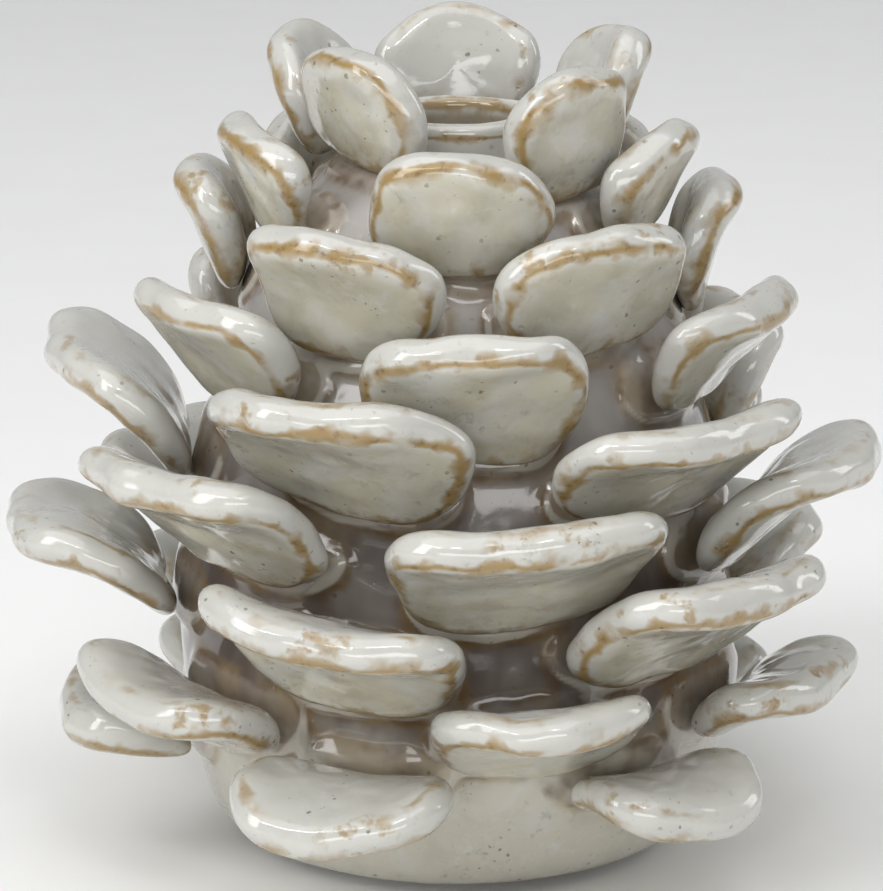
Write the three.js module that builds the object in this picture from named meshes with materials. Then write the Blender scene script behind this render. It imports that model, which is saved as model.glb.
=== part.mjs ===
// A stoneware candle holder in the shape of an open pinecone.
// A hollow pot stands on a slab base, a candle cup sits in its neck, and nine rings of five
// or six clay scales are luted round its wall. Every scale is cut, bent and pressed on by hand.
// Millimetres, +Z up, front towards -Y.
import * as THREE from "three";
import { mergeVertices } from "three/addons/utils/BufferGeometryUtils.js";

// ---- driving dimensions ----
const WALL = 5; // thickness of the pot's wall
const SLIP = 0.35; // layer of luting slip between two pieces
const RING_STEP = 13.6; // height from one ring of scales to the next
const TOP_RING_Z = 119; // height of the lowest point of the top ring's scales
const SCALE_THICKNESS = 7;
const CANDLE_RADIUS = 11; // household candle, 22 mm
const LIP_Z = 127.5;
const LIP_RADIUS = 14.4;
const CUP_DEPTH = 27;
const CUP_FLOOR = 5;
const FOOT_INSIDE = 22;
const FOOT_OUTSIDE = 29;
const VENT_RADIUS = 3;
const PROUD = 2.1; // how far the middle of a scale's root stands off the wall
const CUPPING = 3; // how far a scale's sides curl towards its upper face
const ROOT_SHARE = 0.88; // width of a root against the width of its scale
const ROOT_CORNER = 3.3; // how square the outline is at the root, 2 being round
const TIP_CORNER = 2.55; // and at the tip
const ROOT_THIN = 0.55; // thickness of a scale where its root is pressed on, against the rest of it
const PRESSED = 9; // length of that pressed end

const ROUND_STEPS = 60;
const OUTLINE_STEPS = 18;

const rad = THREE.MathUtils.degToRad;
const glaze = new THREE.MeshStandardMaterial({ color: 0xdcdad0, roughness: 0.18, metalness: 0 });
const bareClay = new THREE.MeshStandardMaterial({ color: 0xb08a5e, roughness: 0.8, metalness: 0 });

// ---- the pot's wall: [radius, height] of its outside, from the foot to the neck ----
const WALL_PROFILE = new THREE.SplineCurve(
  [
    [36, 1.8],
    [40.3, 4],
    [43.6, 10],
    [46.4, 21],
    [48, 36],
    [47, 52],
    [44.5, 67],
    [41, 81],
    [36.5, 95],
    [31, 107],
    [24, 116],
    [15, 121.2],
  ].map(([radius, height]) => new THREE.Vector2(radius, height)),
);
const wallOutside = WALL_PROFILE.getPoints(16);

// A point of a profile moved along the profile's normal, outwards for a positive distance.
function offsetProfile(points, distance) {
  return points.map((point, i) => {
    const before = points[Math.max(0, i - 1)];
    const after = points[Math.min(points.length - 1, i + 1)];
    const along = after.clone().sub(before).normalize();
    return new THREE.Vector2(point.x + along.y * distance, point.y - along.x * distance);
  });
}

// A body turned round the pot's axis, from a profile that ends where it starts or on the axis.
function turned(name, profile, material) {
  const geometry = new THREE.LatheGeometry(profile, ROUND_STEPS);
  geometry.rotateX(Math.PI / 2);
  return solidMesh(name, geometry, material);
}

function solidMesh(name, geometry, material) {
  const bare = new THREE.BufferGeometry();
  bare.setAttribute("position", geometry.getAttribute("position"));
  bare.setIndex(geometry.index);
  const welded = mergeVertices(bare, 1e-4);
  const corners = Array.from(welded.index.array);
  const kept = [];
  for (let i = 0; i < corners.length; i += 3) {
    const triangle = corners.slice(i, i + 3);
    if (new Set(triangle).size === 3) kept.push(...triangle);
  }
  welded.setIndex(kept);
  welded.computeVertexNormals();
  const mesh = new THREE.Mesh(welded, material);
  mesh.name = name;
  return mesh;
}

// ---- the scales ----
// The wall pushes out any point that would lie in it, so a scale's root takes the wall's shape.
function clearOfWall(radius, height) {
  let nearest = null;
  for (let i = 0; i + 1 < wallOutside.length; i++) {
    const start = wallOutside[i];
    const along = wallOutside[i + 1].clone().sub(start);
    const share = THREE.MathUtils.clamp(
      ((radius - start.x) * along.x + (height - start.y) * along.y) / along.lengthSq(),
      0,
      1,
    );
    const foot = start.clone().addScaledVector(along, share);
    const outward = new THREE.Vector2(along.y, -along.x).normalize();
    const distance = Math.hypot(radius - foot.x, height - foot.y);
    if (!nearest || distance < nearest.distance) nearest = { foot, outward, distance };
  }
  const { foot, outward } = nearest;
  const clearance = (radius - foot.x) * outward.x + (height - foot.y) * outward.y;
  if (clearance >= SLIP) return [radius, height];
  return [foot.x + outward.x * SLIP, foot.y + outward.y * SLIP];
}

function wallRadius(height) {
  for (let i = 0; i + 1 < wallOutside.length; i++) {
    const [low, high] = [wallOutside[i], wallOutside[i + 1]];
    if (height >= low.y && height <= high.y)
      return THREE.MathUtils.mapLinear(height, low.y, high.y, low.x, high.x);
  }
  return height < wallOutside[0].y ? wallOutside[0].x : wallOutside.at(-1).x;
}

const power = (value, exponent) => Math.sign(value) * Math.abs(value) ** exponent;

// One scale: a slab with rounded corners, a little narrower and thinner where it is pressed on,
// that leans from leanRoot to leanTip as it goes out, measured from the vertical.
function scale(name, s) {
  const halfWidth = s.width / 2;
  const turnPerMm = rad(s.leanTip - s.leanRoot) / s.length;
  const leanAt = (along) => rad(s.leanRoot) + turnPerMm * along;
  const rootRadius = wallRadius(s.rootZ) + PROUD;
  const facing = rad(s.azimuth - 90);

  const place = (across, along, lift) => {
    const lean = leanAt(along);
    const start = rad(s.leanRoot);
    const out = (Math.cos(start) - Math.cos(lean)) / turnPerMm;
    const upward = (Math.sin(lean) - Math.sin(start)) / turnPerMm;
    const banked = Math.tan(rad(s.bank)) * THREE.MathUtils.smoothstep(along / s.length, 0, 0.6);
    const pressed = THREE.MathUtils.lerp(ROOT_THIN, 1, THREE.MathUtils.smoothstep(along, 0, PRESSED));
    const normal = lift * pressed + CUPPING * (across / halfWidth) ** 2 + across * banked;
    const radial = rootRadius + out - Math.cos(lean) * normal;
    const height = s.rootZ + upward + Math.sin(lean) * normal;
    const x = radial * Math.cos(facing) - across * Math.sin(facing);
    const y = radial * Math.sin(facing) + across * Math.cos(facing);
    const [clearRadius, clearHeight] = clearOfWall(Math.hypot(x, y), height);
    const push = clearRadius / Math.hypot(x, y);
    return [x * push, y * push, clearHeight];
  };

  // Rings from the middle of the upper face, over the edge, to the middle of the under face.
  const half = SCALE_THICKNESS / 2;
  const rings = [
    [0.5, half],
    [0.9, half * 0.85],
    [1, half * 0.3],
    [1, -half * 0.35],
    [0.92, -half * 0.85],
    [0.5, -half],
  ];
  const vertices = [];
  const middle = s.length * 0.52;
  const outline = (angle) => {
    const corner = Math.sin(angle) < 0 ? ROOT_CORNER : TIP_CORNER;
    const x = power(Math.cos(angle), 2 / corner);
    const y = power(Math.sin(angle), 2 / corner);
    const taper = THREE.MathUtils.lerp(ROOT_SHARE, 1, THREE.MathUtils.smoothstep(y, -1, 0.6));
    const wave = 1 + 0.035 * Math.sin(3 * angle + s.phase) + 0.025 * Math.sin(5 * angle + 2 * s.phase);
    const tip = THREE.MathUtils.lerp(1, s.tipShare, THREE.MathUtils.smoothstep(y, 0.1, 1));
    const across = halfWidth * taper * tip * x * wave;
    return [across, (s.length / 2) * (y * wave + 1)];
  };
  const roll = rad(s.roll);
  const pivot = s.length * 0.3;
  const rolled = (across, along) => [
    across * Math.cos(roll) - (along - pivot) * Math.sin(roll),
    pivot + across * Math.sin(roll) + (along - pivot) * Math.cos(roll),
  ];
  vertices.push(place(...rolled(0, middle), half));
  for (const [share, lift] of rings)
    for (let k = 0; k < OUTLINE_STEPS; k++) {
      const [across, along] = outline((2 * Math.PI * k) / OUTLINE_STEPS);
      vertices.push(place(...rolled(across * share, middle + (along - middle) * share), lift));
    }
  vertices.push(place(...rolled(0, middle), -half));

  const triangles = [];
  const at = (ring, k) => 1 + ring * OUTLINE_STEPS + (k % OUTLINE_STEPS);
  const last = vertices.length - 1;
  for (let k = 0; k < OUTLINE_STEPS; k++) {
    triangles.push(0, at(0, k + 1), at(0, k));
    for (let ring = 0; ring + 1 < rings.length; ring++) {
      triangles.push(at(ring, k), at(ring + 1, k + 1), at(ring + 1, k));
      triangles.push(at(ring, k), at(ring, k + 1), at(ring + 1, k + 1));
    }
    triangles.push(last, at(rings.length - 1, k), at(rings.length - 1, k + 1));
  }
  const geometry = new THREE.BufferGeometry();
  geometry.setAttribute("position", new THREE.Float32BufferAttribute(vertices.flat(), 3));
  geometry.setIndex(triangles);
  return solidMesh(name, geometry, glaze);
}

// Each ring's own shape, from the top ring down. facing is the azimuth of its fourth scale,
// from the front towards the right, and leanRoot and leanTip are angles from the vertical.
const RINGS = [
  { letter: "a", count: 5, facing: 36, width: 27, length: 24, leanRoot: 4, leanTip: 22, tipShare: 0.68 },
  { letter: "b", count: 6, facing: 0, width: 31, length: 25, leanRoot: 8, leanTip: 30, tipShare: 0.76 },
  { letter: "c", count: 6, facing: 30, width: 36, length: 27, leanRoot: 10, leanTip: 45, tipShare: 1 },
  { letter: "d", count: 6, facing: 3, width: 39, length: 30, leanRoot: 12, leanTip: 55, tipShare: 1 },
  { letter: "e", count: 5, facing: 38, width: 44, length: 33, leanRoot: 16, leanTip: 76, tipShare: 1 },
  { letter: "f", count: 6, facing: 10, width: 48, length: 35, leanRoot: 20, leanTip: 82, tipShare: 1 },
  { letter: "g", count: 6, facing: 40, width: 46, length: 37, leanRoot: 26, leanTip: 84, tipShare: 1 },
  { letter: "h", count: 5, facing: 10, width: 42, length: 32, leanRoot: 32, leanTip: 88, tipShare: 1 },
  { letter: "i", count: 6, facing: 40, width: 40, length: 29, leanRoot: 38, leanTip: 92, tipShare: 1 },
];

// What the maker's hand did to each scale of a ring: its turn round the pot in degrees, its lift
// in mm, extra lean at its root and at its tip in degrees, roll in its own plane and bank of its
// tip in degrees, and extra width and length in mm.
const BY_HAND = {
  a: [
    [0, -1, 0, 0, 0, 0, 3, 0],
    [-8, -1, 10, 14, -6, 0, 0, 0],
    [-16, 0.5, 0, 0, -9, 0, 3, -2],
    [9, -3.5, 0, 0, 10, 0, 0, 0],
    [2, -1, 8, 8, 6, 0, 0, 0],
  ],
  b: [
    [0, 0, -4, -4, 3, 0, -3, 0],
    [-14, -1.5, -4, -12, -3, 0, -5, -6],
    [-10, 3, 2, 2, -10, 0, 0, -4],
    [-1, 0, 0, 0, -6, 0, 0.5, -1],
    [10, 3, 4, 4, 10, 0, -2, -4],
    [14, -1.5, -4, -12, 3, 0, -5, -6],
  ],
  c: [
    [0, 0, -6, -6, 4, 0, 0, 0],
    [-5, 4, -6, -6, -6, 0, -10, -3],
    [3, 0.5, 0, 0, -10, 0, -2, -1],
    [1, 0.5, 0, 0, 2, 0, 0, -1],
    [2, 0.5, -11, -11, 6, 0, -8, -2],
    [0, 0, -6, -6, -3, 0, 0, 0],
  ],
  d: [
    [0, 1, -4, -4, 3, 0, -3, 0],
    [-15, -2, -10, -14, 0, 0, -5, -6],
    [1, 3.5, 4, 4, -4, 0, -2, -4],
    [0, -2, 0, 0, -2, 0, 0, 0],
    [1, 3, 8, 4, 2, 0, 1, -5],
    [13, -2, -10, -12, 3, 0, -5, -6],
  ],
  e: [
    [8, 0, 0, 0, 4, 0, 0, 0],
    [19, 0.5, 0, 0, -6, 0, 4, 0.5],
    [12, 3, 0, 0, -14, 0, 2, 1],
    [0, 0.5, 4, 8, -6, 0, 4, 0],
    [12, -2, -18, -18, 4, 0, -4, -4],
  ],
  f: [
    [0, 0, 0, 0, 2, 3, 0, 0],
    [-12, -2, 0, 8, 0, 0, -4, -12],
    [5, 3.5, 0, 0, -5, 0, 0, 0],
    [0, -1, 0, 0, 2, 3, -0.5, 0],
    [0, 1.5, 0, 0, 0, 0, -1, -1],
    [8, 0, -10, -10, 0, 0, -4, -6],
  ],
  g: [
    [-18, 0, -6, -6, 0, 3, -6, -4],
    [-2, 5, 6, 6, -4, 0, 0, -4],
    [1, -2, -8, 12, -6, -8, 0, 3],
    [-1, 1.5, 0, 0, -3, 0, 2, 0],
    [20, -5, -4, -4, 0, 0, -6, -10],
    [3, 0, 0, 0, 2, -4, 0, 0],
  ],
  h: [
    [0, 0, 0, 0, -3, 3, 0, 0],
    [-2, 0, -6, -6, 2, -4, 0, -4],
    [11, 0.5, -8, 16, 2, -6, -2, -4],
    [3, 1, 0, 0, 2, 2, -5, 0],
    [-17, 1.5, 6, 6, 2, 0, -2, -8],
  ],
  i: [
    [2, 0, 0, 0, 3, -3, -2, -2],
    [6, 8.5, 22, -14, 6, -8, -12, -5],
    [1, 12, 30, 26, -14, -4, -2, -1],
    [-5, 8, 14, 30, 3, 0, -6, -2],
    [30, 0, -6, -6, 0, 4, -4, -6],
    [14, 2, 0, 0, 4, 0, -4, -2],
  ],
};

const holder = new THREE.Group();
RINGS.forEach((ring, index) => {
  BY_HAND[ring.letter].forEach(([turn, lift, rootLean, tipLean, roll, bank, wide, long], place) => {
    holder.add(
      scale(`scale_${ring.letter}${place + 1}`, {
        azimuth: ring.facing + ((place - 3) * 360) / ring.count + turn,
        rootZ: TOP_RING_Z - RING_STEP * index + lift,
        leanRoot: ring.leanRoot + rootLean,
        leanTip: ring.leanTip + tipLean,
        width: ring.width + wide,
        length: ring.length + long,
        tipShare: ring.tipShare,
        roll,
        bank,
        phase: index * 1.3 + place * 2.1,
      }),
    );
  });
});

// ---- the pot ----
const neck = LIP_RADIUS + SLIP;
const wallInside = offsetProfile(wallOutside, -WALL).filter((point) => point.x > neck);
holder.add(
  turned(
    "pot_wall",
    [
      ...wallOutside,
      new THREE.Vector2(neck, wallOutside.at(-1).y),
      new THREE.Vector2(neck, wallInside.at(-1).y),
      ...wallInside.reverse(),
      wallOutside[0],
    ],
    glaze,
  ),
);

// The slab closes the wall's lower end from inside, with a small vent for the kiln.
const [slabEdge, slabTop] = [wallOutside[0].x - SLIP, wallInside.at(-1)];
const slabBottom = wallOutside[0].y;
holder.add(
  turned(
    "base_slab",
    [
      [VENT_RADIUS, slabBottom],
      [slabEdge, slabBottom],
      [slabTop.x - SLIP, slabTop.y],
      [VENT_RADIUS, slabTop.y],
      [VENT_RADIUS, slabBottom],
    ].map(([radius, height]) => new THREE.Vector2(radius, height)),
    glaze,
  ),
);

// The foot is a flat coil of bare clay that keeps the glaze off the table.
const footTop = slabBottom - SLIP;
holder.add(
  turned(
    "foot_ring",
    [
      [FOOT_INSIDE + 0.6, 0],
      [FOOT_OUTSIDE - 0.6, 0],
      [FOOT_OUTSIDE, 0.6],
      [FOOT_OUTSIDE, footTop],
      [FOOT_INSIDE, footTop],
      [FOOT_INSIDE, 0.6],
      [FOOT_INSIDE + 0.6, 0],
    ].map(([radius, height]) => new THREE.Vector2(radius, height)),
    bareClay,
  ),
);

// ---- the candle cup in the neck: a round lip over a slightly tapered bore ----
const seatZ = LIP_Z - CUP_DEPTH;
holder.add(
  turned(
    "candle_cup",
    [
      [0, seatZ - CUP_FLOOR],
      [LIP_RADIUS - 1.5, seatZ - CUP_FLOOR],
      [LIP_RADIUS, seatZ - CUP_FLOOR + 1.5],
      [LIP_RADIUS, LIP_Z - 1.3],
      [LIP_RADIUS - 0.4, LIP_Z - 0.4],
      [LIP_RADIUS - 1.2, LIP_Z],
      [CANDLE_RADIUS + 0.8, LIP_Z - 0.2],
      [CANDLE_RADIUS + 0.3, LIP_Z - 1],
      [CANDLE_RADIUS + 0.2, LIP_Z - 2.2],
      [CANDLE_RADIUS, seatZ + 1],
      [CANDLE_RADIUS - 0.6, seatZ],
      [0, seatZ],
    ].map(([radius, height]) => new THREE.Vector2(radius, height)),
    glaze,
  ),
);

// The origin goes midway between the outermost scales, at the level that the foot stands on.
const middle = new THREE.Box3().setFromObject(holder).getCenter(new THREE.Vector3());
for (const piece of holder.children) piece.geometry.translate(-middle.x, -middle.y, 0);

export default holder;
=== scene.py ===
"""Looks of the pinecone candle holder: glazed stoneware scales, pot, cup and foot on a table."""

import math

import bpy
import numpy as np
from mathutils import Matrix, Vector, noise


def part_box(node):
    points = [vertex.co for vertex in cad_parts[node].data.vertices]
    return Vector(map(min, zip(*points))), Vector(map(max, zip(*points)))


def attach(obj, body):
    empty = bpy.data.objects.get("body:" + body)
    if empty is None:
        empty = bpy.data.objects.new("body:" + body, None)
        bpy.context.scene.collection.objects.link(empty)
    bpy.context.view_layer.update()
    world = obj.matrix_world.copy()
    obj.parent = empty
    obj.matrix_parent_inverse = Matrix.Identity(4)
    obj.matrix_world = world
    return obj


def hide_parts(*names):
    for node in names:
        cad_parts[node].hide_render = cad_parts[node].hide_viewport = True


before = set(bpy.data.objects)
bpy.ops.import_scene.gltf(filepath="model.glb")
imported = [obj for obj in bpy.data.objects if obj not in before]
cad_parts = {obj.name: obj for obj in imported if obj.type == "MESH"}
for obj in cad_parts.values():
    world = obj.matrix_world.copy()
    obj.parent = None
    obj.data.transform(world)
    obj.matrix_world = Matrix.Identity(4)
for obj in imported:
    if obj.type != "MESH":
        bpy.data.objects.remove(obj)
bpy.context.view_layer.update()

MM = 0.001
ROUND_STEPS = 6  # points between two outline points of a scale's CAD mesh
FACE_STEPS = (8, 6, 3, 3, 3, 6, 8)  # points between two of its rings, from the upper face's middle
WALL_COLUMNS = 440
WALL_STEP = 0.70 * MM
TURNED_COLUMNS = 160
FOOTPRINT = 6.2  # mm off the wall, within which a scale's underside counts as its root
RIDGE_AT = 1.25  # mm from a root to the crest of the slip ridge round it
RIDGE_HEIGHT = 0.75  # mm
RIDGE_WIDTH = 0.75  # mm from the crest to where the ridge is a third as high
FILLET_HEIGHT = 1.2  # mm of slip up against a root
FILLET_WIDTH = 2.0  # mm
SMOOTHING_PASSES = 60  # over each scale's grid
RIM_BULGE = 0.4  # mm that a scale's rounded rim stands proud
WALL_THICKNESS = 5 * MM
CUP_GAP = 0.35 * MM  # between the cup and the bore of the neck
WELD = 0.002 * MM  # CAD vertices nearer than this are one
FAR = 20.0  # mm from a root, out of reach of its slip and stains
ROOT_MARGIN = 9 * MM  # round a root's box, beyond which it has no effect


# ---------------------------------------------------------------- CAD nodes as plain arrays
def node_mesh(name):
    """A CAD node's welded vertices, and its triangles."""
    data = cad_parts[name].data
    co = np.array([v.co for v in data.vertices])
    keys, index, back = {}, np.zeros(len(co), int), []
    for i, key in enumerate(map(tuple, np.round(co / WELD).astype(int))):
        if key not in keys:
            keys[key] = len(back)
            back.append(i)
        index[i] = keys[key]
    faces = [[int(index[v]) for v in p.vertices] for p in data.polygons]
    return co[back], [f for f in faces if len(set(f)) == len(f)]


low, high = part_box("candle_cup")
AXIS = np.array([(low.x + high.x) / 2, (low.y + high.y) / 2, 0.0])


def polar(co):
    """Distances from the pot's axis and heights of an array of points."""
    return np.hypot(co[:, 0] - AXIS[0], co[:, 1] - AXIS[1]), co[:, 2]


def spline_rows(rows, steps):
    """Centripetal Catmull-Rom rows through rows[1:-1], steps[i] of them from row i to row i + 1."""
    out = []
    for i, count in enumerate(steps):
        p0, p1, p2, p3 = rows[i : i + 4]
        knots = [np.zeros((len(p0), 1))]
        for a, b in ((p0, p1), (p1, p2), (p2, p3)):
            gap = np.linalg.norm(b - a, axis=1, keepdims=True)
            knots.append(knots[-1] + np.sqrt(np.maximum(gap, 1e-7)))
        t0, t1, t2, t3 = knots
        for j in range(count):
            t = t1 + (t2 - t1) * j / count
            a1 = p0 + (p1 - p0) * (t - t0) / (t1 - t0)
            a2 = p1 + (p2 - p1) * (t - t1) / (t2 - t1)
            a3 = p2 + (p3 - p2) * (t - t2) / (t3 - t2)
            b1 = a1 + (a2 - a1) * (t - t0) / (t2 - t0)
            b2 = a2 + (a3 - a2) * (t - t1) / (t3 - t1)
            out.append(b1 + (b2 - b1) * (t - t1) / (t2 - t1))
    out.append(rows[-2])
    return np.array(out)


def closed_loop(points):
    """A smooth closed loop through points, ROUND_STEPS times as dense."""
    rows = np.concatenate([points[-1:], points, points[:2]])[:, None, :]
    return spline_rows(rows, [ROUND_STEPS] * len(points))[:-1, 0]


def normals_of(co, faces):
    """Vertex normals, weighted by area."""
    tris = np.array([f[:3] for f in faces] + [[f[0], f[2], f[3]] for f in faces if len(f) == 4])
    cross = np.cross(co[tris[:, 1]] - co[tris[:, 0]], co[tris[:, 2]] - co[tris[:, 0]])
    out = np.zeros_like(co)
    for k in range(3):
        np.add.at(out, tris[:, k], cross)
    return out / np.maximum(np.linalg.norm(out, axis=1, keepdims=True), 1e-12)


def lumps(co, size, seed):
    """Smooth noise from -1 to 1 at each point, with lumps of about that size in mm."""
    shift = Vector((seed * 3.17, seed * 1.71, seed * 2.39))
    return np.array([noise.noise(Vector(p) / (size * MM) + shift) for p in co])


def make_piece(name, co, faces, attributes, material, node):
    """A smooth mesh piece with float attributes that stands for a CAD node."""
    mesh = bpy.data.meshes.new(name)
    mesh.from_pydata([tuple(p) for p in co], [], faces)
    mesh.polygons.foreach_set("use_smooth", [True] * len(faces))
    for key, values in attributes.items():
        layer = mesh.attributes.new(key, "FLOAT", "POINT")
        layer.data.foreach_set("value", np.asarray(values, np.float32))
    mesh.materials.append(material)
    obj = bpy.data.objects.new(name, mesh)
    bpy.context.scene.collection.objects.link(obj)
    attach(obj, "root")
    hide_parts(node)
    return obj


# ---------------------------------------------------------------- the pot's profile
def outside_profile(name, steps):
    """The outside of a turned CAD node, foot to neck, as dense (radius, height) rows."""
    co, faces = node_mesh(name)
    radius, height = polar(co)
    middle = (height.min() + height.max()) / 2
    pairs = set()
    for f in faces:
        a, b, c = (co[i] - AXIS for i in f[:3])
        normal = np.cross(b - a, c - a)
        centre = (a + b + c) / 3
        if normal @ (centre - np.array([0, 0, middle])) > 0:
            pairs.update((round(radius[i], 5), round(height[i], 5)) for i in f)
    ordered = []
    for r, z in sorted(pairs, key=lambda p: p[1]):
        if not ordered or z - ordered[-1][1] > 0.3 * MM:
            ordered.append([r, z])
    rows = np.array([[r, z, 0.0] for r, z in ordered])
    rows = np.concatenate([2 * rows[:1] - rows[1:2], rows, 2 * rows[-1:] - rows[-2:-1]])
    return spline_rows(rows[:, None, :], [steps] * (len(ordered) - 1))[:, 0, :2]


wall_line = outside_profile("pot_wall", 24)


def wall_foot(co):
    """The nearest point of the pot's outside to each point, and its distance in mm."""
    radius, height = polar(co)
    away = np.hypot(radius[:, None] - wall_line[:, 0], height[:, None] - wall_line[:, 1])
    nearest = wall_line[away.argmin(1)]
    foot = AXIS + (co - AXIS) * (nearest[:, :1] / radius[:, None])
    foot[:, 2] = nearest[:, 1]
    return foot, away.min(1) / MM


# ---------------------------------------------------------------- materials
class Nodes:
    """Small helper that adds shader nodes and links them."""

    def __init__(self, name):
        self.material = bpy.data.materials.new(name)
        self.material.use_nodes = True
        self.tree = self.material.node_tree
        self.tree.nodes.clear()

    def add(self, kind, inputs=None, **settings):
        node = self.tree.nodes.new(kind)
        for key, value in settings.items():
            setattr(node, key, value)
        for key, value in (inputs or {}).items():
            self.put(node, key, value)
        return node

    def put(self, node, key, value):
        if isinstance(value, bpy.types.NodeSocket):
            self.tree.links.new(value, node.inputs[key])
        else:
            node.inputs[key].default_value = value

    def math(self, operation, a, b=0.0):
        return self.add("ShaderNodeMath", {0: a, 1: b}, operation=operation).outputs[0]

    def plus(self, a, b):
        return self.math("ADD", a, b)

    def times(self, a, b):
        return self.math("MULTIPLY", a, b)

    def largest(self, a, b):
        return self.math("MAXIMUM", a, b)

    def inverse(self, value):
        """1 minus the value."""
        return self.math("SUBTRACT", 1.0, value)

    def sway(self, amount, *noise):
        """Noise that swings over that amount in all, half of it to each side of 0."""
        return self.times(self.math("SUBTRACT", self.noise(*noise), 0.5), amount)

    def vector(self, operation, inputs):
        return self.add("ShaderNodeVectorMath", inputs, operation=operation).outputs[0]

    def step(self, value, start, end):
        """0 below start and 1 above end, with a smooth step between."""
        inputs = {0: value, 1: start, 2: end}
        return self.add("ShaderNodeMapRange", inputs, interpolation_type="SMOOTHSTEP").outputs[0]

    def noise(self, size, detail=2.0, rough=0.5, warp=0.0, stretch=None):
        """Noise from 0 to 1 in the shared frame, with lumps of about size mm."""
        place = self.add("ShaderNodeTexCoord").outputs["Object"]
        if stretch:
            place = self.add("ShaderNodeMapping", {"Vector": place, "Scale": stretch}).outputs[0]
        inputs = {"Vector": place, "Scale": 1 / (size * MM)}
        inputs.update({"Detail": detail, "Roughness": rough, "Distortion": warp})
        return self.add("ShaderNodeTexNoise", inputs).outputs[0]

    def dots(self, size, share, radius):
        """1 on specks: a share of the cells of size mm hold one, up to that radius in cells."""
        place = self.add("ShaderNodeTexCoord").outputs["Object"]
        bend = 0.9 * MM  # how far a speck's outline strays from a circle
        inputs = {"Vector": place, "Scale": 1 / bend, "Detail": 2.0}
        bent = self.add("ShaderNodeTexNoise", inputs).outputs[1]
        shift = self.vector("ADD", {0: bent, 1: (-0.5, -0.5, -0.5)})
        shift = self.vector("SCALE", {0: shift, 3: bend})
        place = self.vector("ADD", {0: place, 1: shift})
        cell = self.add("ShaderNodeTexVoronoi", {"Vector": place, "Scale": 1 / (size * MM)})
        chosen = self.add("ShaderNodeSeparateColor", {0: cell.outputs["Color"]})
        here = self.math("GREATER_THAN", chosen.outputs[0], 1 - share)
        reach = self.times(chosen.outputs[1], radius)
        near = self.inverse(self.step(cell.outputs["Distance"], 0.0, 1.0))
        edge = self.math("SUBTRACT", reach, cell.outputs["Distance"])
        return self.times(here, self.times(near, self.step(edge, 0.0, 0.06)))

    def attribute(self, name):
        return self.add("ShaderNodeAttribute", attribute_name=name).outputs["Fac"]

    def mix(self, factor, a, b):
        node = self.add("ShaderNodeMix", data_type="RGBA")
        self.put(node, 0, factor)
        self.put(node, 6, a)
        self.put(node, 7, b)
        return node.outputs[2]

    def finish(self, color, roughness, height, depth, **constants):
        """The material's shader, with a relief of that depth in mm and constant sockets."""
        relief = {"Height": height, "Distance": depth * MM, "Strength": 1.0}
        bump = self.add("ShaderNodeBump", relief)
        shader = self.add("ShaderNodeBsdfPrincipled")
        self.put(shader, "Base Color", color)
        self.put(shader, "Roughness", roughness)
        self.put(shader, "Normal", bump.outputs[0])
        for key, value in constants.items():
            shader.inputs[key.replace("_", " ")].default_value = value
        output = self.add("ShaderNodeOutputMaterial")
        self.tree.links.new(shader.outputs[0], output.inputs[0])
        return self.material


MILK = (0.505, 0.503, 0.478, 1)  # thick glaze over the rims
CREAM = (0.475, 0.446, 0.35, 1)
OLIVE = (0.37, 0.342, 0.262, 1)
CLOUD = (0.55, 0.57, 0.59, 1)
SMUDGE = (0.20, 0.195, 0.17, 1)
CARAMEL = (0.285, 0.185, 0.058, 1)  # glaze worn thin over an edge
RUST = (0.115, 0.062, 0.023, 1)
SHADED_MAUVE = (0.092, 0.071, 0.064, 1)  # thin glaze on the wall, low down, darkened further with painted shade from the scales
BLUSH = (0.40, 0.378, 0.358, 1)  # the same glaze near the neck, where the painted shade is lightest
SLIP = (0.47, 0.445, 0.39, 1)
SPECK = (0.095, 0.07, 0.045, 1)
SOCKET = (0.27, 0.225, 0.16, 1)
CLAY = (0.42, 0.26, 0.14, 1)
PALE_CLAY = (0.55, 0.37, 0.22, 1)


def glaze_body(n, milk):
    """Cream glaze, milkier where the factor milk is 1, with blue-white curdles and grey smudges."""
    cloudy = n.step(n.noise(10.0, 4.0, 0.55, 0.6), 0.40, 0.70)
    cloudy = n.largest(n.times(cloudy, 0.7), milk)
    thick = n.times(n.step(n.noise(6.5, 4.0, 0.6, 0.3), 0.44, 0.68), 0.55)
    color = n.mix(cloudy, n.mix(thick, CREAM, OLIVE), MILK)
    curdled = n.times(n.step(n.noise(2.6, 4.0, 0.65, 0.5), 0.52, 0.72), 0.5)
    color = n.mix(n.times(curdled, n.step(n.noise(16.0, 2.0), 0.42, 0.62)), color, CLOUD)
    grey = n.step(n.noise(3.0, 4.0, 0.65), 0.56, 0.74)
    grey = n.times(grey, n.step(n.noise(21.0, 1.0), 0.46, 0.62))
    return n.mix(n.times(grey, 0.5), color, SMUDGE)


def specked(n, color):
    """Iron specks, thicker in some places than in others."""
    crowd = n.step(n.noise(14.0, 2.0), 0.46, 0.64)
    fine = n.times(n.dots(1.7, 0.34, 0.30), n.plus(n.times(crowd, 0.8), 0.12))
    grains = n.times(n.step(n.noise(1.1, 2.0, 0.6, 0.6), 0.66, 0.74), crowd)
    coarse = n.times(n.dots(5.2, 0.36, 0.115), 0.9)
    marks = n.largest(n.largest(fine, coarse), n.times(grains, 0.7))
    return n.mix(n.times(marks, 0.75), color, SPECK)


def glaze_relief(n):
    """Waviness of the glaze with a few pinholes, as a height from 0 to 1."""
    wavy = n.times(n.noise(5.5, 1.0, 0.4), 0.8)
    fine = n.times(n.noise(1.3, 1.0, 0.5), 0.05)
    pits = n.times(n.dots(3.4, 0.16, 0.16), -0.25)
    return n.plus(n.plus(wavy, fine), pits)


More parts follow.
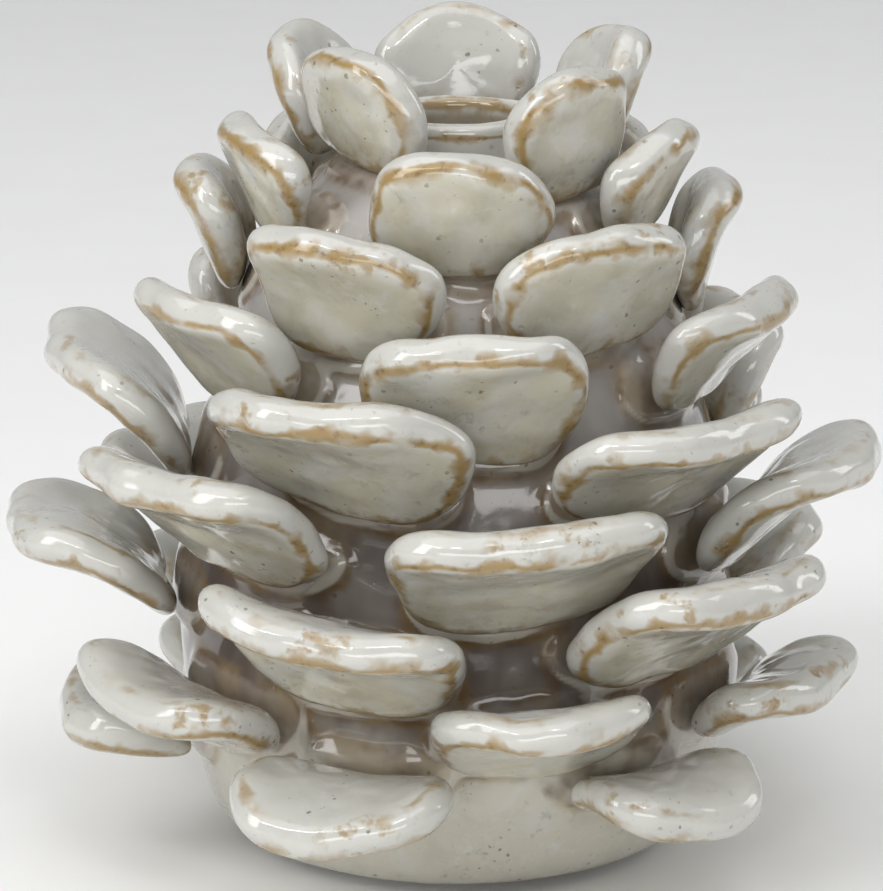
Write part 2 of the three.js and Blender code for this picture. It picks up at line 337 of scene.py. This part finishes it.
COAT = {"IOR": 1.5, "Coat_Weight": 0.5, "Coat_Roughness": 0.03}  # thick glossy glaze
THIN_COAT = {"IOR": 1.5, "Coat_Weight": 0.35, "Coat_Roughness": 0.05}


def glaze_gloss(n):
    """Roughness of the glaze."""
    return n.plus(n.times(n.noise(7.0, 2.0, 0.5), 0.10), 0.05)


def broken_line(n, distance, width, wander, cover):
    """A soft, uneven line where a distance in mm is near 0, faded out over part of its length."""
    drift = n.sway(wander, 8.0, 1.5, 0.45)
    offset = n.math("ABSOLUTE", n.plus(distance, drift))
    swell = n.plus(n.times(n.step(n.noise(5.0, 2.0, 0.5), 0.40, 0.72), 2.0 * width), 0.7 * width)
    line = n.inverse(n.step(n.math("DIVIDE", offset, swell), 0.1, 1.3))
    faded = n.step(n.noise(7.5, 2.0, 0.5, 0.4), 0.80 - cover, 1.08 - cover)
    return n.times(line, faded)


def breaking(n, color, lines, strength):
    """Caramel where the glaze runs thin over an edge, with darker grains in it."""
    color = n.mix(n.times(lines, strength), color, CARAMEL)
    deep = n.times(lines, n.step(n.noise(1.7, 3.0, 0.65), 0.50, 0.72))
    return n.mix(n.times(deep, 0.6), color, RUST)


def scale_glaze():
    n = Nodes("glaze_scale")
    arris, upper, gap = n.attribute("arris"), n.attribute("upper"), n.attribute("gap")
    ragged = n.sway(9.0, 6.0, 3.0, 0.6)
    on_rim = n.inverse(n.step(n.plus(arris, ragged), -1.5, 4.0))
    on_rim = n.times(on_rim, n.step(gap, 2.0, 8.0))
    color = glaze_body(n, n.times(on_rim, 0.85))
    low_line = broken_line(n, arris, 1.05, 3.4, 0.56)
    high_line = broken_line(n, upper, 0.8, 3.2, 0.36)
    blotch = n.step(n.noise(4.6, 3.0, 0.55, 0.2), 0.54, 0.66)
    blotch = n.times(blotch, n.step(n.noise(17.0, 1.0), 0.50, 0.64))
    near_rim = n.inverse(n.step(n.math("ABSOLUTE", n.plus(arris, 2.5)), 2.5, 6.0))
    lines = n.largest(low_line, n.times(high_line, 0.75))
    lines = n.largest(lines, n.times(n.times(blotch, near_rim), 0.8))
    color = breaking(n, color, lines, 0.95)
    root = n.inverse(n.step(gap, 1.0, 10.0))
    root = n.times(root, n.step(n.noise(4.6, 3.0, 0.6, 0.5), 0.44, 0.66))
    color = n.mix(n.times(root, 0.75), color, CARAMEL)
    grime = n.times(root, n.step(n.noise(2.4, 3.0, 0.65), 0.46, 0.68))
    color = n.mix(n.times(grime, 0.6), color, RUST)
    crease = n.inverse(n.step(gap, 0.3, 1.5))
    color = n.mix(n.times(crease, 0.6), color, RUST)
    color = specked(n, color)
    rough = n.plus(glaze_gloss(n), n.times(lines, 0.1))
    relief = n.math("SUBTRACT", glaze_relief(n), n.times(lines, 0.12))
    return n.finish(color, rough, relief, 0.5, **COAT)


def wall_glaze():
    n = Nodes("glaze_wall")
    contact = n.attribute("contact")
    place = n.add("ShaderNodeTexCoord").outputs["Object"]
    height = n.add("ShaderNodeSeparateXYZ", {0: place}).outputs[2]
    wander = n.sway(14 * MM, 14.0, 3.0, 0.6)
    thin = n.step(n.plus(height, wander), 20 * MM, 37 * MM)
    runs = n.step(n.noise(9.0, 2.0, 0.5, 0.4, (1, 1, 0.5)), 0.35, 0.75)
    # painted shade: the thin glaze between the scales darkens from 106 mm down to 52 mm and below
    shaded_window = n.mix(n.step(height, 52 * MM, 106 * MM), SHADED_MAUVE, BLUSH)
    shaded_window = n.mix(n.times(runs, 0.25), shaded_window, SLIP)
    color = n.mix(thin, glaze_body(n, 0.35), shaded_window)
    wobble = n.sway(2.2, 4.0, 3.0, 0.6)
    distance = n.plus(contact, wobble)
    # round each root: rust-brown and caramel, partly the glaze's own colour and partly painted
    # shade cast by the scale onto the wall
    warm = n.times(n.inverse(n.step(distance, 1.5, 6.5)), n.step(n.noise(8.0, 2.0), 0.36, 0.62))
    color = n.mix(n.times(warm, n.times(thin, 0.38)), color, RUST)
    border = n.inverse(n.step(distance, 1.9, 3.7))
    stain_and_shade = n.times(border, n.step(n.noise(9.0, 2.0, 0.5), 0.32, 0.60))
    color = n.mix(n.times(stain_and_shade, 0.45), color, CARAMEL)
    rust_and_shade = n.times(border, n.step(n.noise(6.0, 2.0, 0.5), 0.42, 0.66))
    color = n.mix(n.times(rust_and_shade, 0.7), color, RUST)
    collar = n.times(n.inverse(n.step(distance, 0.9, 2.1)), 0.24)
    crest = n.times(n.step(n.attribute("ridge"), 0.28, 0.75), 0.8)
    color = n.mix(n.largest(collar, crest), color, SLIP)
    color = specked(n, color)
    return n.finish(color, glaze_gloss(n), glaze_relief(n), 0.25, **THIN_COAT)


def cup_glaze():
    n = Nodes("glaze_cup")
    arris = n.attribute("arris")
    inside = n.step(arris, 0.8, 2.4)
    color = glaze_body(n, n.times(n.inverse(inside), 0.8))
    color = n.mix(n.times(inside, 0.8), color, SOCKET)
    line = broken_line(n, arris, 0.95, 0.8, 1.1)
    band = broken_line(n, n.attribute("upper"), 0.5, 0.6, 1.0)
    color = breaking(n, color, n.largest(line, band), 0.85)
    color = specked(n, color)
    return n.finish(color, glaze_gloss(n), glaze_relief(n), 0.35, **{**COAT, "IOR": 1.52})


def clay():
    n = Nodes("bare_clay")
    grains = n.noise(0.7, 4.0, 0.7)
    color = n.mix(n.step(grains, 0.4, 0.7), CLAY, PALE_CLAY)
    color = n.mix(n.times(n.dots(1.4, 0.3, 0.2), 0.6), color, RUST)
    rough = n.plus(n.times(grains, 0.2), 0.65)
    return n.finish(color, rough, grains, 0.12, IOR=1.5)


SCALE_GLAZE, WALL_GLAZE, CUP_GLAZE, CLAY_SKIN = scale_glaze(), wall_glaze(), cup_glaze(), clay()


# ---------------------------------------------------------------- the scales
def scale_rings(name):
    """The rings of a scale's CAD mesh, from the middle of its upper face over its rim to the
    middle of its under face. Each ring is its points in order round the outline."""
    co, faces = node_mesh(name)
    links = [set() for _ in co]
    for f in faces:
        for i, a in enumerate(f):
            links[a].update((f[i - 1], f[(i + 1) % len(f)]))
    poles = sorted(range(len(co)), key=lambda i: -len(links[i]))[:2]
    radius, height = polar(co)
    top = max(poles, key=lambda i: height[i] - radius[i])
    level, layers = {top: 0}, [[top]]
    while True:
        ring = sorted({j for i in layers[-1] for j in links[i] if j not in level})
        if not ring:
            break
        level.update((j, len(layers)) for j in ring)
        layers.append(ring)
    rings = []
    for ring in layers[1:-1]:
        order = [ring[0]]
        members = set(ring)
        while len(order) < len(ring):
            nearby = [j for j in links[order[-1]] if j in members and j not in order]
            order.append(min(nearby, key=lambda j: np.linalg.norm(co[j] - co[order[-1]])))
        points = co[order]
        if rings:
            senses = (points, points[::-1])
            turns = [np.roll(p, k, axis=0) for p in senses for k in range(len(ring))]
            points = min(turns, key=lambda p: ((p - rings[-1]) ** 2).sum())
        rings.append(points)
    return co[layers[0][0]], rings, co[layers[-1][0]]


def grown_scale(name, seed):
    """A scale as a dense smooth mesh through its CAD points, with the dents of a hand."""
    upper_pole, rings, under_pole = scale_rings(name)
    loops = [closed_loop(r) for r in rings]
    columns = len(loops[0])
    across = [np.tile(upper_pole, (columns, 1)), *loops, np.tile(under_pole, (columns, 1))]
    ahead = np.roll(loops[0], columns // 2, axis=0)
    behind = np.roll(loops[-1], columns // 2, axis=0)
    rows = spline_rows(np.array([ahead, *across, behind]), FACE_STEPS)
    gap = wall_foot(rows.reshape(-1, 3))[1].reshape(len(rows), columns, 1)
    near = np.clip(1.2 - gap / 10, 0.28, 1)
    for _ in range(SMOOTHING_PASSES):
        around = (np.roll(rows, 1, axis=1) + np.roll(rows, -1, axis=1)) / 2
        across = (rows[:-2] + rows[2:]) / 2
        rows[1:-1] += np.maximum(near[1:-1], 0.5) * 0.5 * (around[1:-1] - rows[1:-1])
        rows[1:-1] += near[1:-1] * 0.3 * (across - rows[1:-1])
    lengths = np.linalg.norm(np.diff(rows, axis=0), axis=2)
    run = np.concatenate([[np.zeros(columns)], np.cumsum(lengths, axis=0)])
    co = np.concatenate([rows[:1, 0], rows[1:-1].reshape(-1, 3), rows[-1:, 0]])
    count = len(rows) - 2
    at = lambda i, k: 1 + i * columns + k % columns
    faces = []
    for k in range(columns):
        faces.append([0, at(0, k), at(0, k + 1)])
        for i in range(count - 1):
            faces.append([at(i, k), at(i + 1, k), at(i + 1, k + 1), at(i, k + 1)])
        faces.append([len(co) - 1, at(count - 1, k + 1), at(count - 1, k)])
    centre = co.mean(0)
    corners = np.array([f[:3] for f in faces])
    a, b, c = co[corners[:, 0]], co[corners[:, 1]], co[corners[:, 2]]
    if (np.cross(b - a, c - a) * (a - centre)).sum() < 0:
        faces = [f[::-1] for f in faces]

    def per_vertex(values):
        return np.concatenate([values[:1, 0], values[1:-1].reshape(-1), values[-1:, 0]])

    lower_arris, upper_arris = sum(FACE_STEPS[:5]) - 1, sum(FACE_STEPS[:2])
    arris = per_vertex((run - run[lower_arris]) / MM)
    upper = per_vertex((run - run[upper_arris]) / MM)
    gap = wall_foot(co)[1]
    free = np.clip(gap / 4, 0, 1)
    rim = np.exp(-((arris + 2.5) / 3.0) ** 2)
    rolled = np.exp(-((arris / 3.2) ** 2)) + np.exp(-((upper / 3.2) ** 2))
    push = 0.9 * lumps(co, 14, seed) + 0.35 * lumps(co, 6, seed + 7)
    push += 1.1 * rim * lumps(co, 9, seed + 13)
    push += RIM_BULGE * rolled
    co = co + normals_of(co, faces) * (push * free * MM)[:, None]
    return co, faces, {"arris": arris, "upper": upper, "gap": gap}


contacts = []
for seed, name in enumerate(sorted(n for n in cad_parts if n.startswith("scale_"))):
    co, faces, attributes = grown_scale(name, seed)
    foot, away = wall_foot(co)
    contacts.append(foot[away < FOOTPRINT])
    make_piece("glazed_" + name, co, faces, attributes, SCALE_GLAZE, name)


def nearest_roots(co):
    """Distances in mm from each point to the roots of the two nearest scales, and its height in
    mm over the nearest point of the nearer one."""
    first, second, rise = np.full(len(co), FAR), np.full(len(co), FAR), np.zeros(len(co))
    for root in contacts:
        low, high = root.min(0) - ROOT_MARGIN, root.max(0) + ROOT_MARGIN
        near = np.where(((co > low) & (co < high)).all(1))[0]
        if not len(near):
            continue
        apart = ((co[near, None] - root[None]) ** 2).sum(2)
        away = np.sqrt(apart.min(1)) / MM
        closer = away < first[near]
        rise[near[closer]] = ((co[near, 2] - root[apart.argmin(1), 2]) / MM)[closer]
        second[near] = np.minimum(second[near], np.maximum(first[near], away))
        first[near] = np.minimum(first[near], away)
    return first, second, rise


# ---------------------------------------------------------------- turned pieces
def even_line(points, step):
    """A line of (radius, height) points resampled at an even step."""
    run = np.concatenate([[0], np.cumsum(np.linalg.norm(np.diff(points, axis=0), axis=1))])
    at = np.linspace(0, run[-1], max(2, int(round(run[-1] / step)) + 1))
    return np.stack([np.interp(at, run, points[:, k]) for k in (0, 1)], 1)


def turned(line, columns, closed):
    """A grid of points and its quads, turned round the pot's axis from (radius, height) points."""
    angle = 2 * np.pi * np.arange(columns) / columns
    ring = np.stack([np.cos(angle), np.sin(angle)], 1)
    co = np.array([[*(AXIS[:2] + r * c), z] for r, z in line for c in ring])
    rows = len(line)
    last = rows if closed else rows - 1
    faces = []
    for i in range(last):
        j = (i + 1) % rows
        for k in range(columns):
            m = (k + 1) % columns
            faces.append([i * columns + k, i * columns + m, j * columns + m, j * columns + k])
    return co, faces


def eased(values, times):
    """A field on the wall's grid, with its sharp steps rounded off."""
    grid = values.reshape(-1, WALL_COLUMNS)
    for _ in range(times):
        grid = (np.roll(grid, 1, axis=1) + 2 * grid + np.roll(grid, -1, axis=1)) / 4
        padded = np.concatenate([grid[:1], grid, grid[-1:]])
        grid = (padded[:-2] + 2 * grid + padded[2:]) / 4
    return grid.reshape(-1)


def grow_wall():
    outside = even_line(wall_line, WALL_STEP)
    along = np.gradient(outside, axis=0)
    along /= np.linalg.norm(along, axis=1, keepdims=True)
    inward = np.stack([-along[:, 1], along[:, 0]], 1)
    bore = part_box("candle_cup")[1].x - AXIS[0] + CUP_GAP
    inside = (outside + inward * WALL_THICKNESS)[::9]
    inside = inside[inside[:, 0] > bore]
    neck = np.array([[bore, outside[-1, 1]], [bore, inside[-1, 1]]])
    line = np.concatenate([outside, neck, inside[::-1]])
    co, faces = turned(line, WALL_COLUMNS, True)
    skin = len(outside) * WALL_COLUMNS
    contact = np.full(len(co), FAR)
    near, other, rise = (eased(field, 3) for field in nearest_roots(co[:skin]))
    contact[:skin] = near

    # slip ridges round the roots, joined by webs where two roots are near, and none above a root
    strength = np.clip(0.8 + 0.9 * lumps(co[:skin], 11, 5), 0.3, 1.25)
    crest = np.exp(-(((near - RIDGE_AT - 0.7 * lumps(co[:skin], 8, 3)) / RIDGE_WIDTH) ** 2))
    web = np.exp(-(((other - near) / 1.5) ** 2))
    web *= np.clip((5.0 - other) / 1.5, 0, 1) * np.clip((near - 1.5) / 1.5, 0, 1)
    web *= 1 - np.clip(np.abs(rise) / np.maximum(near, 0.8), 0, 1) ** 2
    above = np.clip(1.2 * rise / np.maximum(near, 0.8), 0, 1)
    crest = np.maximum(crest, web) * (1 - above**2)
    fillet = FILLET_HEIGHT * np.exp(-((near / FILLET_WIDTH) ** 2))
    soft = 0.4 * lumps(co[:skin], 16, 8)
    row = np.arange(len(outside))
    end = np.clip(np.minimum(row, row[::-1]) / 6, 0, 1)
    end = np.repeat(end, WALL_COLUMNS)
    push = eased(RIDGE_HEIGHT * crest * strength + fillet + soft, 1) * end
    co[:skin] += normals_of(co, faces)[:skin] * (push * MM)[:, None]
    ridge = np.zeros(len(co))
    ridge[:skin] = crest * strength * end
    return co, faces, {"contact": contact, "ridge": ridge}


co, faces, attributes = grow_wall()
make_piece("glazed_pot", co, faces, attributes, WALL_GLAZE, "pot_wall")


def grow_cup():
    low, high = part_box("candle_cup")
    outer = high.x - AXIS[0]
    co, _ = node_mesh("candle_cup")
    radius, height = polar(co)
    seat = height[(radius < outer - 2 * MM) & (height > low.z + 1 * MM)].min()
    bore = radius[height > seat + 0.5 * MM].min()
    lip = 1.35 * MM
    arc = [
        [(outer + bore) / 2 + (outer - bore) / 2 * math.cos(t), high.z - lip + lip * math.sin(t)]
        for t in np.linspace(0, math.pi, 14)
    ]
    corners = [[0.4 * MM, low.z], [outer - 1.2 * MM, low.z], [outer, low.z + 1.2 * MM]]
    floor = [[bore, seat + 1 * MM], [bore - 0.6 * MM, seat], [0.4 * MM, seat]]
    line = even_line(np.array(corners + arc + floor), 0.5 * MM)
    co, faces = turned(line, TURNED_COLUMNS, False)
    columns = TURNED_COLUMNS
    faces.append(list(range(columns))[::-1])
    faces.append([(len(line) - 1) * columns + k for k in range(columns)])
    run = np.concatenate([[0], np.cumsum(np.linalg.norm(np.diff(line, axis=0), axis=1))])
    crest = run[np.argmax(line[:, 1])]
    arris = np.repeat((run - crest) / MM - 2.0, columns)
    upper = np.repeat((run - crest) / MM + 3.4, columns)
    free = np.repeat(np.clip((line[:, 1] - seat) / (4 * MM), 0, 1), columns)
    push = (0.28 * lumps(co, 11, 2) + 0.1 * lumps(co, 4, 4)) * free
    co += normals_of(co, [f for f in faces if len(f) == 4]) * (push * MM)[:, None]
    return co, faces, {"arris": arris, "upper": upper}


co, faces, attributes = grow_cup()
make_piece("glazed_cup", co, faces, attributes, CUP_GLAZE, "candle_cup")


def grow_band(name, seed):
    """A turned CAD node with a convex section, its corners worn round."""
    co, _ = node_mesh(name)
    section = np.unique(np.round(np.stack(polar(co), 1), 5), axis=0)
    spoke = section - section.mean(0)
    section = section[np.argsort(np.arctan2(spoke[:, 1], spoke[:, 0]))]
    line = even_line(np.concatenate([section, section[:1]]), 0.4 * MM)[:-1]
    for _ in range(3):
        line = (np.roll(line, 1, axis=0) + 2 * line + np.roll(line, -1, axis=0)) / 4
    co, faces = turned(line, TURNED_COLUMNS, True)
    co += normals_of(co, faces) * (0.12 * lumps(co, 7, seed) * MM)[:, None]
    co[:, 2] = np.maximum(co[:, 2], section[:, 1].min())
    return co, faces, {"contact": np.full(len(co), FAR), "ridge": np.zeros(len(co))}


co, faces, attributes = grow_band("base_slab", 61)
make_piece("glazed_base", co, faces, attributes, WALL_GLAZE, "base_slab")
co, faces, attributes = grow_band("foot_ring", 62)
make_piece("bare_foot", co, faces, attributes, CLAY_SKIN, "foot_ring")


# ---------------------------------------------------------------- table, light and camera
def table():
    n = Nodes("table_top")
    grain = n.noise(30.0, 3.0, 0.5)
    color = n.mix(grain, (0.86, 0.86, 0.85, 1), (0.90, 0.90, 0.895, 1))
    skin = n.finish(color, 0.6, n.noise(2.0), 0.02, IOR=1.45)
    span, back, bend, wall = 4.0, 1.6, 0.8, 3.0
    line = [(-span, 0.0), (back, 0.0)]
    quarter = np.linspace(0, math.pi / 2, 14)
    line += [(back + bend * math.sin(t), bend * (1 - math.cos(t))) for t in quarter]
    line.append((back + bend, wall))
    verts = [(x, y, z) for y, z in line for x in (-span, span)]
    quads = [(2 * i, 2 * i + 1, 2 * i + 3, 2 * i + 2) for i in range(len(line) - 1)]
    mesh = bpy.data.meshes.new("table_top")
    mesh.from_pydata(verts, [], quads)
    mesh.polygons.foreach_set("use_smooth", [True] * len(quads))
    mesh.materials.append(skin)
    obj = bpy.data.objects.new("table_top", mesh)
    bpy.context.scene.collection.objects.link(obj)


table()


def soft_light(name, place, aim, size, power):
    data = bpy.data.lights.new(name, "AREA")
    data.shape = "RECTANGLE"
    data.size, data.size_y = size
    data.energy = power
    obj = bpy.data.objects.new(name, data)
    bpy.context.scene.collection.objects.link(obj)
    obj.location = place
    obj.rotation_euler = (Vector(aim) - Vector(place)).to_track_quat("-Z", "Y").to_euler()


soft_light("top_box", (-0.1, -0.35, 1.65), (0, 0, 0.07), (2.4, 2.0), 22.6)
soft_light("low_box", (0.1, -1.3, 0.3), (0, 0, 0.03), (1.2, 0.3), 4.8)
soft_light("front_box", (0.2, -1.0, 1.25), (0, 0, 0.07), (0.30, 0.12), 1.5)
soft_light("side_box", (-0.55, -0.95, 1.2), (0, 0, 0.07), (0.30, 0.12), 1.5)
soft_light("left_box", (-0.95, -0.65, 0.7), (0, 0, 0.09), (0.45, 1.1), 8.2)
soft_light("right_box", (1.1, 0.2, 0.6), (0, 0, 0.07), (0.3, 0.8), 2.5)

world = bpy.data.worlds.new("studio")
bpy.context.scene.world = world
world.use_nodes = True
world.node_tree.nodes["Background"].inputs[0].default_value = (0.96, 0.98, 1.0, 1)
world.node_tree.nodes["Background"].inputs[1].default_value = 0.235

ELEVATION = math.radians(15)
DISTANCE = 0.8
VIEW_SHIFT = -2.67 * MM  # from the pot's axis to the middle of the view
VIEW_HEIGHT = 68.7 * MM
look_at = Vector((AXIS[0] + VIEW_SHIFT, AXIS[1], VIEW_HEIGHT))
lens = bpy.data.cameras.new("camera")
lens.lens = 187.5
lens.sensor_width = 36
lens.clip_start = 0.05
camera = bpy.data.objects.new("camera", lens)
bpy.context.scene.collection.objects.link(camera)
camera.location = look_at + DISTANCE * Vector((0, -math.cos(ELEVATION), math.sin(ELEVATION)))
camera.rotation_euler = (look_at - camera.location).to_track_quat("-Z", "Y").to_euler()
bpy.context.scene.camera = camera
bpy.context.scene.view_settings.view_transform = "Standard"
